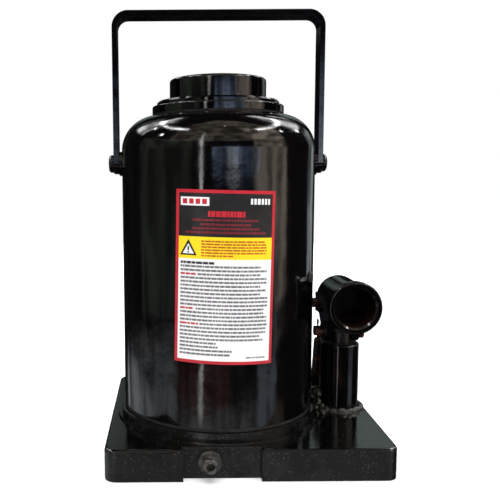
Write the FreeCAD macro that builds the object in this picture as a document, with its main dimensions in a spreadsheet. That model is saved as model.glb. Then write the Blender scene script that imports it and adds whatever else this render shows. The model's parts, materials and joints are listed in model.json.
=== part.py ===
import FreeCAD, Part
import os
import re
import Sketcher
from FreeCAD import Placement, Rotation, Vector

# Hydraulic bottle jack, millimetres, +Z up.
# Origin: underside of the base, on the axis of the ram.
# +X points to the hand pump, -Y to the side where the handle goes in.

SIZES = {
    # base casting
    "base_left": 89.5, "base_right": 126.8, "base_half_depth": 92, "base_height": 24,
    "base_corner": 9, "base_edge": 2.5,
    "notch_left": 31.3, "notch_right": 26.4, "notch_depth": 6,
    "boss_radius": 85, "boss_top": 26, "step_radius": 81.5, "step_top": 32,
    "bed_floor": 16,
    # reservoir and pressure cylinder
    "tank_radius": 79, "tank_wall": 3.5, "tank_bottom": 34.5, "tank_top": 270.7,
    "shoulder_radius": 28, "tank_mouth": 49.4,
    "cylinder_radius": 50, "cylinder_bore": 40, "cylinder_thread": 46,
    "cylinder_bottom": 17.5, "thread_bottom": 247, "cylinder_top": 265,
    # top nut, its seals and the ram
    "skirt_radius": 49.2, "skirt_bottom": 250, "flange_radius": 53.6, "flange_bottom": 272.2,
    "flange_top": 278.5, "crown_radius": 49.8, "crown_edge": 281, "crown_flat": 48.4,
    "crown_top": 282.4, "gland_bore": 38.05, "guide_outer": 41.5, "guide_bottom": 269,
    "guide_top": 274, "wiper_outer": 42.5, "wiper_bottom": 277.5,
    "ram_radius": 38, "head_radius": 39.95, "head_bottom": 40, "head_top": 84,
    "spigot_radius": 34, "spigot_bottom": 34, "ram_top": 283,
    "retainer_radius": 38.5, "retainer_thick": 4,
    "bolt_radius": 8, "bolt_flats": 24, "bolt_head": 8, "bolt_length": 26,
    "saddle_radius": 39.3, "saddle_top": 300, "saddle_edge": 2.4,
    "stem_radius": 15, "stem_bottom": 262, "tooth_depth": 1.6, "tooth_width": 3.2,
    # hand pump
    "pump_x": 104.5, "pump_radius": 16.1, "pump_bore": 10, "pump_bottom": 12,
    "pump_top": 80.6, "pump_seal_bottom": 62, "pump_seal_top": 68, "pump_seal_outer": 13,
    "pump_wiper_bottom": 76, "bead_radius": 21.8, "bead_height": 5,
    "plunger_radius": 9.95, "plunger_bottom": 28, "plunger_neck": 80.6,
    "tongue_half": 7.8, "eye_round": 8, "eye_slot": 4.9, "eye_slip": 1.9,
    # linkage: A is the plunger pin, B the socket pivot, C the pin in the lug, K the elbow
    "pin_a_z": 90.5, "pin_b_y": 19.5, "pin_b_z": 111, "pin_c_y": 50, "pin_c_z": 34,
    "elbow_y": 42, "elbow_z": 66, "pin_radius": 4.2, "pin_play": 0.1,
    "link_inner": 3, "fork_inner": 6.6, "link_thick": 4.5, "link_half": 8,
    "lug_half": 6.2, "lug_round": 8, "lug_bead": 3.5,
    "reach_a": 22, "reach_b": 19.4, "reach_c": 17.4, "pin_head": 6.5, "pin_head_thick": 4.5,
    "split_inset": 3.3,
    "washer_outer": 8.5, "washer_thick": 1.5, "split_radius": 1.1, "split_leg": 7.5,
    # handle socket
    "socket_z": 118.8, "socket_mouth": -47.5, "rim_length": 7.5, "rim_radius": 21,
    "socket_radius": 18, "socket_bore": 15.5, "socket_rear": 10,
    "socket_back": 4,
    "bore_chamfer": 1.6,
    "ear_inner": 8.4, "ear_outer": 13.2, "ear_round": 8.8,
    # bail handle
    "bail_outer": 85.6, "bail_thick": 4.2, "bail_crown": 5.4, "bail_half_width": 8.5,
    "bail_top": 354, "bail_bend": 13, "crown_bend": 8.5, "bail_pivot_z": 232.4,
    "stud_radius": 4.2, "stud_head": 7.25, "dome_edge": 2.4, "stud_end": 89.8, "bail_gap": 0.25, "bail_boss": 10,
    # valves and oil passages in the base
    "drill_radius": 2.2, "drill_z": 6, "drill_offset": 6, "valve_x": 62,
    "check_ball": 3.5, "check_bore": 5.5, "check_seat": 10, "check_plug": 24,
    "outlet_z": 13, "outlet_x": 30, "end_plug_radius": 4, "end_plug_length": 6,
    "spring_wire": 0.6, "strainer_radius": 5.2, "strainer_top": 38,
    "release_x": -11.6, "release_z": 12.8, "collar_radius": 8.6, "collar_end": 3, "release_radius": 5, "release_play": 0.05,
    "release_out": 10.5, "release_head": 5.8, "release_seat": -46, "release_ball": 3,
    "safety_x": 10.8, "safety_z": 10.4, "safety_radius": 7.6, "safety_plug": 8, "safety_bore": 5,
    "safety_seat": -50, "safety_ball": 3.5,
    # filler plug and label
    "filler_angle": 64, "filler_z": 142, "filler_radius": 3, "filler_head": 4.4,
    "filler_out": 1.9,
    "release_tip": 5.1, "ring_groove": 28, "ring_wire": 1.4, "key_radius": 3.4, "key_depth": 4,
    "label_half_angle": 27.9, "label_bottom": 84, "label_top": 212,
    "label_thick": 0.25,
}

doc = FreeCAD.newDocument("BottleJack")
sheet = doc.addObject("Spreadsheet::Sheet", "Sizes")
for row, (alias, number) in enumerate(SIZES.items(), 1):
    sheet.set(f"A{row}", alias)
    sheet.set(f"B{row}", str(number))
    sheet.setAlias(f"B{row}", alias)
doc.recompute()

ALIAS = re.compile(r"\b(" + "|".join(sorted(SIZES, key=len, reverse=True)) + r")\b")
parts = []


def size(name):
    """The number that a cell of the sheet holds."""
    return float(sheet.get(name))


def formula(text):
    """An expression in sheet aliases, as the expression engine wants it."""
    return ALIAS.sub(r"Sizes.\1", str(text))


def number(text):
    """The present value of such an expression."""
    return float(sheet.evalExpression(formula(text)))


def bind(thing, **properties):
    """Bind properties of an object to expressions."""
    for prop, text in properties.items():
        thing.setExpression(prop, formula(text))
    return thing


def place(thing, x="0", y="0", z="0", axis=None, angle="0"):
    """Bind an object's Placement: a turn about an axis, then a shift."""
    if axis is not None:
        thing.Placement = Placement(Vector(), Rotation(Vector(*axis), 1.0))
        thing.setExpression(".Placement.Rotation.Angle", formula(angle))
    for key, text in (("x", x), ("y", y), ("z", z)):
        thing.setExpression(f".Placement.Base.{key}", formula(text))
    return thing


def node(thing, name):
    """Take an object as a finished sub-part."""
    thing.Label = name
    parts.append(thing)
    return thing


# --- primitives and booleans --------------------------------------------------------------------

ALONG = {"X": ((0, 1, 0), "90"), "-Y": ((1, 0, 0), "90"), "Y": ((1, 0, 0), "-90"), "Z": (None, "0")}


def rod(radius, length, x="0", y="0", z="0", along="Z"):
    thing = bind(doc.addObject("Part::Cylinder", "Rod"), Radius=radius, Height=length)
    axis, angle = ALONG[along]
    return place(thing, x, y, z, axis, angle)


def block(x0, x1, y0, y1, z0, z1):
    thing = doc.addObject("Part::Box", "Block")
    bind(thing, Length=f"({x1}) - ({x0})", Width=f"({y1}) - ({y0})", Height=f"({z1}) - ({z0})")
    return place(thing, x0, y0, z0)


def ball(radius, x, y, z):
    return place(bind(doc.addObject("Part::Sphere", "Ball"), Radius=radius), x, y, z)


def ring(major, minor, x, y, z, axis=None, angle="0"):
    thing = bind(doc.addObject("Part::Torus", "Ring"), Radius1=major, Radius2=minor)
    return place(thing, x, y, z, axis, angle)


def fuse(*things):
    thing = doc.addObject("Part::MultiFuse", "Fuse")
    thing.Shapes = list(things)
    thing.Refine = True
    return thing


def cut(base, *tools):
    thing = doc.addObject("Part::Cut", "Cut")
    thing.Base = base
    thing.Tool = tools[0] if len(tools) == 1 else fuse(*tools)
    return thing


def group(*things):
    """Separate solids kept as one sub-part."""
    thing = doc.addObject("Part::Compound", "Group")
    thing.Links = list(things)
    return thing


def rounded(thing, radius, chosen):
    """Fillet the edges that chosen(edge) picks."""
    doc.recompute()
    value = size(radius)
    picks = [(i, value, value) for i, edge in enumerate(thing.Shape.Edges, 1) if chosen(edge)]
    fillet = doc.addObject("Part::Fillet", "Rounded")
    fillet.Base = thing
    fillet.Edges = picks
    return fillet


def arm(x0, thick, start, end, half):
    """A flat bar from one centre to another in a plane across X."""
    (y0, z0), (y1, z1) = start, end
    slope = f"atan2({z1} - ({z0}); {y1} - ({y0}))"
    run = f"sqrt(({y1} - ({y0}))^2 + ({z1} - ({z0}))^2)"
    bar = bind(doc.addObject("Part::Box", "Arm"), Length=thick, Width=run, Height=f"2 * ({half})")
    side_y, side_z = f"({half}) * sin({slope})", f"({half}) * cos({slope})"
    place(bar, x0, f"{y0} + {side_y}", f"{z0} - {side_z}", (1, 0, 0), slope)
    return bar


def disc(x0, thick, centre, radius):
    return rod(radius, thick, x0, centre[0], centre[1], "X")


# --- PartDesign bodies ---------------------------------------------------------------------------

def plane(body, role):
    return next(f for f in body.Origin.OriginFeatures if f.Role == role)


def sketch_on(body, role, lift="0"):
    """A sketch on one of the body's origin planes, lifted along the plane's normal."""
    sketch = body.newObject("Sketcher::SketchObject", "Sketch")
    sketch.AttachmentSupport = (plane(body, role), [""])
    sketch.MapMode = "FlatFace"
    sketch.setExpression(".AttachmentOffset.Base.z", formula(lift))
    return sketch


def pin_down(sketch, geo, end, axis, text):
    """Fix one coordinate of a sketch point to an expression."""
    value = number(text)
    if abs(value) < 1e-9:
        sketch.addConstraint(Sketcher.Constraint("PointOnObject", geo, end, -2 if axis == "X" else -1))
        return
    index = sketch.addConstraint(Sketcher.Constraint(f"Distance{axis}", -1, 1, geo, end, value))
    sketch.setExpression(f"Constraints[{index}]", formula(text))


def polygon(sketch, points):
    """A closed outline whose corners are all bound to the sheet."""
    corners = [Vector(number(u), number(v), 0) for u, v in points]
    first = sketch.GeometryCount
    for here, there in zip(corners, corners[1:] + corners[:1]):
        sketch.addGeometry(Part.LineSegment(here, there))
    for i, (u, v) in enumerate(points):
        following = first + (i + 1) % len(points)
        sketch.addConstraint(Sketcher.Constraint("Coincident", first + i, 2, following, 1))
        pin_down(sketch, first + i, 1, "X", u)
        pin_down(sketch, first + i, 1, "Y", v)


def circle(sketch, u, v, radius):
    spot = Vector(number(u), number(v), 0)
    geo = sketch.addGeometry(Part.Circle(spot, Vector(0, 0, 1), number(radius)))
    index = sketch.addConstraint(Sketcher.Constraint("Radius", geo, number(radius)))
    sketch.setExpression(f"Constraints[{index}]", formula(radius))
    pin_down(sketch, geo, 3, "X", u)
    pin_down(sketch, geo, 3, "Y", v)


def turned(name, profile, x="0", y="0", z="0", along="Z"):
    """A body turned about its own Z from (radius, height) corners, then placed."""
    body = doc.addObject("PartDesign::Body", "Body")
    sketch = sketch_on(body, "XZ_Plane")
    polygon(sketch, profile)
    turn = body.newObject("PartDesign::Revolution", "Turn")
    turn.Profile = sketch
    turn.ReferenceAxis = (sketch, ["V_Axis"])
    turn.Angle = 360
    axis, angle = ALONG[along]
    place(body, x, y, z, axis, angle)
    doc.recompute()
    return node(body, name) if name else body


def padded(body, sketch, length, back=False):
    pad = body.newObject("PartDesign::Pad", "Pad")
    pad.Profile = sketch
    bind(pad, Length=length)
    pad.Reversed = back
    doc.recompute()
    return pad


def pocketed(body, sketch, depth, back):
    """Cut a pocket and make sure that it really cuts."""
    before = body.Shape.Volume
    pocket = body.newObject("PartDesign::Pocket", "Pocket")
    pocket.Profile = sketch
    bind(pocket, Length=depth)
    pocket.Reversed = back
    doc.recompute()
    if body.Shape.Volume > before - 1e-3:
        raise RuntimeError(f"{body.Label}: {pocket.Name} cuts nothing")
    return pocket


def drill(body, role, lift, u, v, radius, depth):
    """A round hole that starts on a lifted origin plane and runs along the plane's normal."""
    sketch = sketch_on(body, role, lift)
    circle(sketch, u, v, radius)
    return pocketed(body, sketch, depth, True)


def filleted(body, radius, chosen):
    """Round the body's edges that chosen(edge) picks."""
    doc.recompute()
    tip = body.Tip
    names = [f"Edge{i}" for i, edge in enumerate(tip.Shape.Edges, 1) if chosen(edge)]
    fillet = body.newObject("PartDesign::Fillet", "Fillet")
    fillet.Base = (tip, names)
    bind(fillet, Radius=radius)
    doc.recompute()
    return fillet


def is_round(edge, radius, height):
    """True for a full circle of this radius about Z at this height."""
    curve = edge.Curve
    if not isinstance(curve, Part.Circle):
        return False
    return abs(curve.Radius - radius) < 1e-3 and abs(curve.Center.z - height) < 1e-3


# --- base ------------------------------------------------------------------------------------------

def base_block(body):
    """The rectangular casting, its corners and top edge rounded, with the notch in front."""
    sketch = sketch_on(body, "XY_Plane")
    front, notch = "-base_half_depth", "notch_depth - base_half_depth"
    polygon(sketch, [
        ("-base_left", front), ("-notch_left", front), ("-notch_left", notch),
        ("notch_right", notch), ("notch_right", front), ("base_right", front),
        ("base_right", "base_half_depth"), ("-base_left", "base_half_depth"),
    ])
    padded(body, sketch, "base_height")
    half = size("base_half_depth")

    def corner(edge):
        line = edge.BoundBox
        outer = abs(abs(line.YMin) - half) < 1e-3 and line.ZLength > 1 and line.XLength < 1e-3
        return outer and (line.XMin < -size("base_left") + 1 or line.XMin > size("base_right") - 1)

    def rim(edge):
        line = edge.BoundBox
        return line.ZLength < 1e-3 and abs(line.ZMin - size("base_height")) < 1e-3

    filleted(body, "base_corner", corner)
    filleted(body, "base_edge", rim)


def base_boss(body):
    """The raised round seat of the tank."""
    steps = (("boss_radius", "base_height", "boss_top"), ("step_radius", "boss_top", "step_top"))
    for radius, low, high in steps:
        sketch = sketch_on(body, "XY_Plane", low)
        circle(sketch, "0", "0", radius)
        padded(body, sketch, f"{high} - {low}")


def base_passages(body):
    """Beds for the cylinders, and the drilled oil passages with their plugged ends."""
    drill(body, "XY_Plane", "bed_floor", "0", "0", "cylinder_radius", "step_top - bed_floor")
    drill(body, "XY_Plane", "pump_bottom", "pump_x", "0", "pump_radius", "step_top - pump_bottom")
    for side in ("-drill_offset", "drill_offset"):
        drill(body, "YZ_Plane", "valve_x", side, "drill_z", "drill_radius", "base_right - valve_x")
        drill(body, "YZ_Plane", "base_right - end_plug_length", side, "drill_z", "end_plug_radius",
              "end_plug_length")
        drill(body, "XY_Plane", "drill_z", "pump_x", side, "drill_radius", "pump_bottom - drill_z")
        drill(body, "XY_Plane", "drill_z", "valve_x", side, "drill_radius", "step_top - drill_z")
    drill(body, "XY_Plane", "check_seat", "valve_x", "-drill_offset", "check_bore", "step_top - check_seat")
    drill(body, "YZ_Plane", "outlet_x", "-drill_offset", "outlet_z", "drill_radius", "valve_x - outlet_x")
    drill(body, "XY_Plane", "outlet_z", "outlet_x", "-drill_offset", "drill_radius", "bed_floor - outlet_z")


def base_valve_bores(body):
    """The bores of the release valve and the overload valve, which open in the notch."""
    mouth = "base_half_depth - notch_depth"
    bores = (
        ("release", "release_radius + release_play", f"{mouth} + release_seat", "release_seat"),
        ("safety", "safety_bore", f"{mouth} + safety_seat", "safety_seat"),
        ("safety", "safety_radius", "safety_plug", f"safety_plug - ({mouth})"),
    )
    for valve, radius, depth, deep_end in bores:
        drill(body, "XZ_Plane", f"-({deep_end})", f"{valve}_x", f"{valve}_z", radius, depth)
    for valve in ("release", "safety"):
        x, z, seat = (f"{valve}_{key}" for key in ("x", "z", "seat"))
        drill(body, "XZ_Plane", f"-({seat}) - 16", x, z, "drill_radius", "16")
        drill(body, "XY_Plane", z, x, f"{seat} + 14", "drill_radius", f"bed_floor - {z}")


def make_base():
    body = doc.addObject("PartDesign::Body", "Body")
    base_block(body)
    base_boss(body)
    base_passages(body)
    base_valve_bores(body)
    node(body, "base")


# --- tank, pressure cylinder and top nut ---------------------------------------------------------------

def washer(name, inner, outer, low, high, x="0", y="0"):
    """A plain ring about Z."""
    profile = [(inner, low), (outer, low), (outer, high), (inner, high)]
    return turned(name, profile, x, y)


def filler_rod(radius, start, length):
    """A rod that runs outwards along the axis of the filler hole, from a distance off the tank's axis."""
    axis = Rotation(Vector(0, 0, 1), size("filler_angle")).multVec(Vector(1, 0, 0))
    thing = bind(doc.addObject("Part::Cylinder", "Rod"), Radius=radius, Height=length)
    return place(thing, f"({start}) * sin(filler_angle)", f"-({start}) * cos(filler_angle)", "filler_z",
                 (axis.x, axis.y, 0), "90")


def make_tank():
    body = turned(None, [
        ("tank_radius - tank_wall", "tank_bottom"), ("tank_radius", "tank_bottom"),
        ("tank_radius", "tank_top"), ("tank_mouth", "tank_top"),
        ("tank_mouth", "tank_top - tank_wall"), ("tank_radius - tank_wall", "tank_top - tank_wall"),
    ])
    outside = (size("tank_radius"), size("tank_top"))
    inside = (size("tank_radius") - size("tank_wall"), size("tank_top") - size("tank_wall"))
    filleted(body, "shoulder_radius - tank_wall", lambda edge: is_round(edge, *inside))
    filleted(body, "shoulder_radius", lambda edge: is_round(edge, *outside))
    hole = filler_rod("filler_radius", "tank_radius - 3 * tank_wall", "4 * tank_wall")
    node(cut(body, hole), "reservoir_shell")
    washer("tank_gasket", "tank_radius - 2 * tank_wall", "tank_radius - 0.5", "step_top", "tank_bottom")
    washer("tank_top_gasket", "tank_mouth", "flange_radius - 0.5", "tank_top", "flange_bottom")


def make_filler_plug():
    """A rubber push-in plug with a domed head."""
    stem = filler_rod("filler_radius", "tank_radius - 2 * tank_wall", "2 * tank_wall + 1")
    head = filler_rod("filler_head", "tank_radius - 2", "2 + filler_out")
    outer = size("tank_radius") + size("filler_out")

    def far_rim(edge):
        curve = edge.Curve
        if not isinstance(curve, Part.Circle):
            return False
        return abs(Vector(curve.Center.x, curve.Center.y, 0).Length - outer) < 1e-3

    head = rounded(head, "ring_wire", far_rim)
    tank = rod("tank_radius", "tank_top", "0", "0", "0")
    node(fuse(cut(head, tank), stem), "oil_filler_plug")


def make_pressure_cylinder():
    turned("pressure_cylinder", [
        ("cylinder_bore", "cylinder_bottom"), ("cylinder_radius", "cylinder_bottom"),
        ("cylinder_radius", "thread_bottom"), ("cylinder_thread", "thread_bottom"),
        ("cylinder_thread", "cylinder_top"), ("cylinder_bore", "cylinder_top"),
    ])
    washer("cylinder_gasket", "cylinder_bore", "cylinder_radius", "bed_floor", "cylinder_bottom")


def make_top_nut():
    """The nut that clamps the tank down and guides the ram."""
    body = turned(None, [
        ("cylinder_thread", "skirt_bottom"), ("skirt_radius", "skirt_bottom"),
        ("skirt_radius", "flange_bottom"), ("flange_radius", "flange_bottom"),
        ("flange_radius", "flange_top"), ("crown_radius", "flange_top"),
        ("crown_radius", "crown_edge"), ("crown_flat", "crown_top"),
        ("wiper_outer", "crown_top"), ("wiper_outer", "wiper_bottom"),
        ("gland_bore", "wiper_bottom"), ("gland_bore", "guide_top"),
        ("guide_outer", "guide_top"), ("guide_outer", "guide_bottom"),
        ("gland_bore", "guide_bottom"), ("gland_bore", "cylinder_top"),
        ("cylinder_thread", "cylinder_top"),
    ])
    flange = (size("flange_radius"), size("flange_top"))
    filleted(body, "ring_wire", lambda edge: is_round(edge, *flange))
    node(body, "top_nut")
    washer("ram_guide_ring", "gland_bore", "guide_outer", "guide_bottom", "guide_top")
    washer("ram_wiper", "gland_bore", "wiper_outer", "wiper_bottom", "crown_top")


# --- ram --------------------------------------------------------------------------------------------------

def make_ram():
    turned("ram", [
        ("0", "spigot_bottom + bolt_length"), ("bolt_radius", "spigot_bottom + bolt_length"),
        ("bolt_radius", "spigot_bottom"), ("spigot_radius", "spigot_bottom"),
        ("spigot_radius", "head_bottom"), ("head_radius", "head_bottom"),
        ("head_radius", "head_top"), ("ram_radius", "head_top"),
        ("ram_radius", "ram_top"), ("stem_radius", "ram_top"),
        ("stem_radius", "stem_bottom"), ("0", "stem_bottom"),
    ])
    washer("ram_seal", "spigot_radius", "head_radius", "spigot_bottom", "head_bottom")
    washer("ram_seal_retainer", "bolt_radius", "retainer_radius", "spigot_bottom - retainer_thick",
           "spigot_bottom")
    hexagon = bind(doc.addObject("Part::Prism", "Hexagon"), Circumradius="bolt_flats / sqrt(3)",
                   Height="bolt_head")
    hexagon.Polygon = 6
    low = "spigot_bottom - retainer_thick"
    place(hexagon, "0", "0", f"{low} - bolt_head")
    shank = rod("bolt_radius", "retainer_thick + bolt_length", "0", "0", low)
    node(fuse(hexagon, shank), "ram_seal_bolt")


def make_saddle():
    """The load cap: a disc with a cross of grip grooves, pressed into the ram."""
    body = turned(None, [
        ("0", "stem_bottom"), ("stem_radius", "stem_bottom"), ("stem_radius", "ram_top"),
        ("saddle_radius", "ram_top"), ("saddle_radius", "saddle_top"), ("0", "saddle_top"),
    ])
    rim = (size("saddle_radius"), size("saddle_top"))
    filleted(body, "saddle_edge", lambda edge: is_round(edge, *rim))
    half, reach = "tooth_width / 2", "saddle_radius - 5"
    grooves = []
    for turn in range(4):
        groove = bind(doc.addObject("Part::Box", "Groove"), Length=f"2 * ({reach})", Width="tooth_width",
                      Height="2 * tooth_depth")
        slope = f"{turn * 45}"
        place(groove, f"-({reach}) * cos({slope}) + {half} * sin({slope})",
              f"-({reach}) * sin({slope}) - {half} * cos({slope})", "saddle_top - tooth_depth",
              (0, 0, 1), slope)
        grooves.append(groove)
    node(cut(body, *grooves), "saddle")


# --- hand pump -----------------------------------------------------------------------------------------------

def make_pump_cylinder():
    body = turned(None, [
        ("pump_bore", "pump_bottom"), ("pump_radius", "pump_bottom"), ("pump_radius", "pump_top"),
        ("pump_seal_outer", "pump_top"), ("pump_seal_outer", "pump_wiper_bottom"),
        ("pump_bore", "pump_wiper_bottom"), ("pump_bore", "pump_seal_top"),
        ("pump_seal_outer", "pump_seal_top"), ("pump_seal_outer", "pump_seal_bottom"),
        ("pump_bore", "pump_seal_bottom"),
    ], "pump_x")
    brim = (size("pump_radius"), size("pump_top"))
    filleted(body, "split_radius", lambda edge: is_round(edge, *brim))
    node(body, "pump_cylinder")
    washer("pump_seal", "pump_bore", "pump_seal_outer", "pump_seal_bottom", "pump_seal_top", "pump_x")
    washer("pump_wiper", "pump_bore", "pump_seal_outer", "pump_wiper_bottom", "pump_top", "pump_x")


def make_pump_weld():
    """The weld bead round the foot of the pump, stopped by the tank's seat."""
    body = turned(None, [
        ("pump_radius", "base_height"), ("bead_radius", "base_height"),
        ("bead_radius - 0.25 * bead_height", "base_height + 0.55 * bead_height"),
        ("pump_radius + 0.35 * bead_height", "base_height + 0.9 * bead_height"),
        ("pump_radius", "base_height + bead_height"),
    ], "pump_x")
    seat = rod("boss_radius", "step_top", "0", "0", "0")
    node(cut(body, seat), "pump_weld_bead")


def make_plunger():
    """The pump's plunger with a flat eye; the eye's slot takes up the arc of the linkage."""
    stem = rod("plunger_radius", "plunger_neck - plunger_bottom", "pump_x", "0", "plunger_bottom")
    half = "tongue_half"
    left = f"pump_x - {half}"
    tongue = block(left, f"pump_x + {half}", "-plunger_radius", "plunger_radius", "plunger_neck", "pin_a_z")
    head = disc(left, f"2 * {half}", ("0", "pin_a_z"), "eye_round")
    column = rod("plunger_radius", "pin_a_z - plunger_bottom + eye_round", "pump_x", "0", "plunger_bottom")
    eye = doc.addObject("Part::MultiCommon", "Common")
    eye.Shapes = [fuse(tongue, head), column]
    slots = [disc(f"{left} - 1", f"2 * {half} + 2", (slip, "pin_a_z"), "eye_slot")
             for slip in ("-eye_slip", "eye_slip")]
    slots.append(block(f"{left} - 1", f"pump_x + {half} + 1", "-eye_slip", "eye_slip",
                       "pin_a_z - eye_slot", "pin_a_z + eye_slot"))
    node(cut(fuse(stem, eye), *slots), "pump_plunger")


# --- linkage -------------------------------------------------------------------------------------------------

A = ("0", "pin_a_z")
B = ("pin_b_y", "pin_b_z")
C = ("pin_c_y", "pin_c_z")
K = ("elbow_y", "elbow_z")


def make_links():
    """Two cranked plates that carry the socket's pivot: close together above, forked over the lug below."""
    half, thick = "link_half", "link_thick"
    rows = (
        ("link_plate_left", "pump_x - link_inner - link_thick", "pump_x - fork_inner - link_thick"),
        ("link_plate_right", "pump_x + link_inner", "pump_x + fork_inner"),
    )
    for name, upper, lower in rows:
        start = min(upper, lower, key=number)
        knee = disc(start, f"{thick} + fork_inner - link_inner", K, half)
        solids = [knee, disc(upper, thick, B, half), disc(lower, thick, C, half)]
        solids += [arm(upper, thick, K, B, half), arm(lower, thick, C, K, half)]
        holes = [disc(f"{x0} - 1", f"{thick} + 2", centre, "pin_radius + pin_play")
                 for x0, centre in ((upper, B), (lower, C))]
        node(cut(fuse(*solids), *holes), name)
    tube = disc("pump_x - link_inner", "2 * link_inner", B, "pin_radius + 2.5")
    hole = disc("pump_x - link_inner - 1", "2 * link_inner + 2", B, "pin_radius + pin_play")
    node(cut(tube, hole), "link_spacer")


def make_lug():
    """The upright ear on the base that the links rock on, with its weld."""
    y0, y1 = "pin_c_y - lug_round", "pin_c_y + lug_round"
    low, x0 = "base_height", "pump_x - lug_half"
    stand = block(x0, "pump_x + lug_half", y0, y1, low, "pin_c_z")
    eye = disc(x0, "2 * lug_half", C, "lug_round")
    hole = disc(f"{x0} - 1", "2 * lug_half + 2", C, "pin_radius")
    node(cut(fuse(stand, eye), hole), "link_lug")
    beads = [rod("lug_bead / 2", "2 * lug_half", x0, y, low, "X")
             for y in (f"{y0} - 0.2 * lug_bead", f"{y1} + 0.2 * lug_bead")]
    floor = block(f"{x0} - 1", "pump_x + lug_half + 1", f"{y0} - lug_bead", f"{y1} + lug_bead", "0", low)
    inside = block(f"{x0} - 1", "pump_x + lug_half + 1", y0, y1, "0", "pin_c_z")
    node(group(*[cut(bead, floor, inside) for bead in beads]), "lug_weld_beads")


def make_pin(name, centre, outer, reach):
    """A clevis pin: head on the right, a cross hole for the split pin on the left."""
    shank = disc(f"pump_x - {reach}", f"{reach} + {outer} + washer_thick", centre, "pin_radius")
    head = disc(f"pump_x + {outer} + washer_thick", "pin_head_thick", centre, "pin_head")
    hole = rod("split_radius", "3 * pin_radius", f"pump_x - {reach} + split_inset", centre[0],
               f"{centre[1]} - 1.5 * pin_radius")
    node(cut(fuse(shank, head), hole), name)


def make_washers(name, centre, outer):
    """The pair of washers on a clevis pin, outside what the pin joins."""
    spots = (f"pump_x - ({outer}) - washer_thick", f"pump_x + {outer}")
    rings = [cut(disc(x, "washer_thick", centre, "washer_outer"),
                 disc(f"{x} - 1", "washer_thick + 2", centre, "pin_radius")) for x in spots]
    node(group(*rings), name)


def make_split_pin(name, centre, reach):
    """A split pin through the end of a clevis pin, its ring on top and its legs hanging below."""
    x, y, z = f"pump_x - {reach} + split_inset", centre[0], centre[1]
    leg = rod("split_radius", "pin_radius + split_leg", x, y, f"{z} - split_leg")
    eye = ring("1.9 * split_radius", "split_radius * 0.8", x, y,
               f"{z} + pin_radius + 2.6 * split_radius", (0, 1, 0), "90")
    tail = rod("0.7 * split_radius", "4 * split_radius", x, y, f"{z} - split_leg + split_radius", "Y")
    node(fuse(leg, eye, tail), name)


def make_pins():
    rows = (
        ("plunger", A, "ear_outer", "reach_a"), ("socket", B, "ear_outer", "reach_b"),
        ("link", C, "fork_inner + link_thick", "reach_c"),
    )
    for name, centre, outer, reach in rows:
        make_pin(f"{name}_pin", centre, outer, reach)
        make_washers(f"{name}_pin_washers", centre, outer)
        make_split_pin(f"{name}_split_pin", centre, reach)


def make_socket():
    """The handle socket: a tube with a rim, and two ears that reach down to the pins."""
    y0, axis = "socket_mouth", "socket_z"
    tube = rod("socket_radius", f"socket_rear - {y0}", "pump_x", "socket_rear", axis, "-Y")
    rim = rod("rim_radius", "rim_length", "pump_x", f"{y0} + rim_length", axis, "-Y")
    rim = rounded(rim, "tooth_depth", lambda edge: isinstance(edge.Curve, Part.Circle))
    solids = [tube, rim]
    for x0 in ("pump_x - ear_outer", "pump_x + ear_inner"):
        thick, half = "ear_outer - ear_inner", "ear_round"
        solids += [disc(x0, thick, centre, half) for centre in (A, B)]
        solids += [arm(x0, thick, A, B, half), arm(x0, thick, A, ("-ear_round", axis), half)]
        solids += [arm(x0, thick, A, ("0", axis), half), arm(x0, thick, B, ("0", axis), half)]
    bore = rod("socket_bore", f"socket_rear - socket_back - {y0} + 1", "pump_x", "socket_rear - socket_back",
               axis, "-Y")
    flare = bind(doc.addObject("Part::Cone", "Flare"), Radius1="socket_bore", Radius2="socket_bore + bore_chamfer",
                 Height="bore_chamfer")
    place(flare, "pump_x", f"{y0} + bore_chamfer", axis, *ALONG["-Y"])
    holes = [disc("pump_x - ear_outer - 1", "2 * ear_outer + 2", centre, "pin_radius") for centre in (A, B)]
    node(cut(fuse(*solids), bore, flare, *holes), "handle_socket")


# --- bail handle -----------------------------------------------------------------------------------------------

def make_bail():
    """A flat strap bent to a square arch, with round ends on the pivots."""
    outer, inner = "bail_outer", "bail_outer - bail_thick"
    half, top = "bail_half_width", "bail_top"

    def bend(width, height):
        return lambda edge: (edge.BoundBox.YLength > 2 * size(half) - 1e-3
                             and abs(abs(edge.BoundBox.XMin) - width) < 1e-3
                             and abs(edge.BoundBox.ZMin - height) < 1e-3)

    solid = block(f"-{outer}", outer, f"-{half}", half, "bail_pivot_z", top)
    solid = rounded(solid, "bail_bend", bend(size("bail_outer"), size(top)))
    low = size("bail_top") - size("bail_crown")
    gap = block(f"-({inner})", inner, f"-{half}", half, "bail_pivot_z - 20", f"{top} - bail_crown")
    hollow = rounded(gap, "crown_bend", bend(size("bail_outer") - size("bail_thick"), low))
    eyes = [disc(x, "bail_thick", ("0", "bail_pivot_z"), half) for x in (f"-{outer}", inner)]
    holes = disc(f"-{outer} - 1", f"2 * {outer} + 2", ("0", "bail_pivot_z"), "stud_radius + pin_play")
    node(cut(fuse(cut(solid, hollow), *eyes), holes), "bail_handle")


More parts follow.
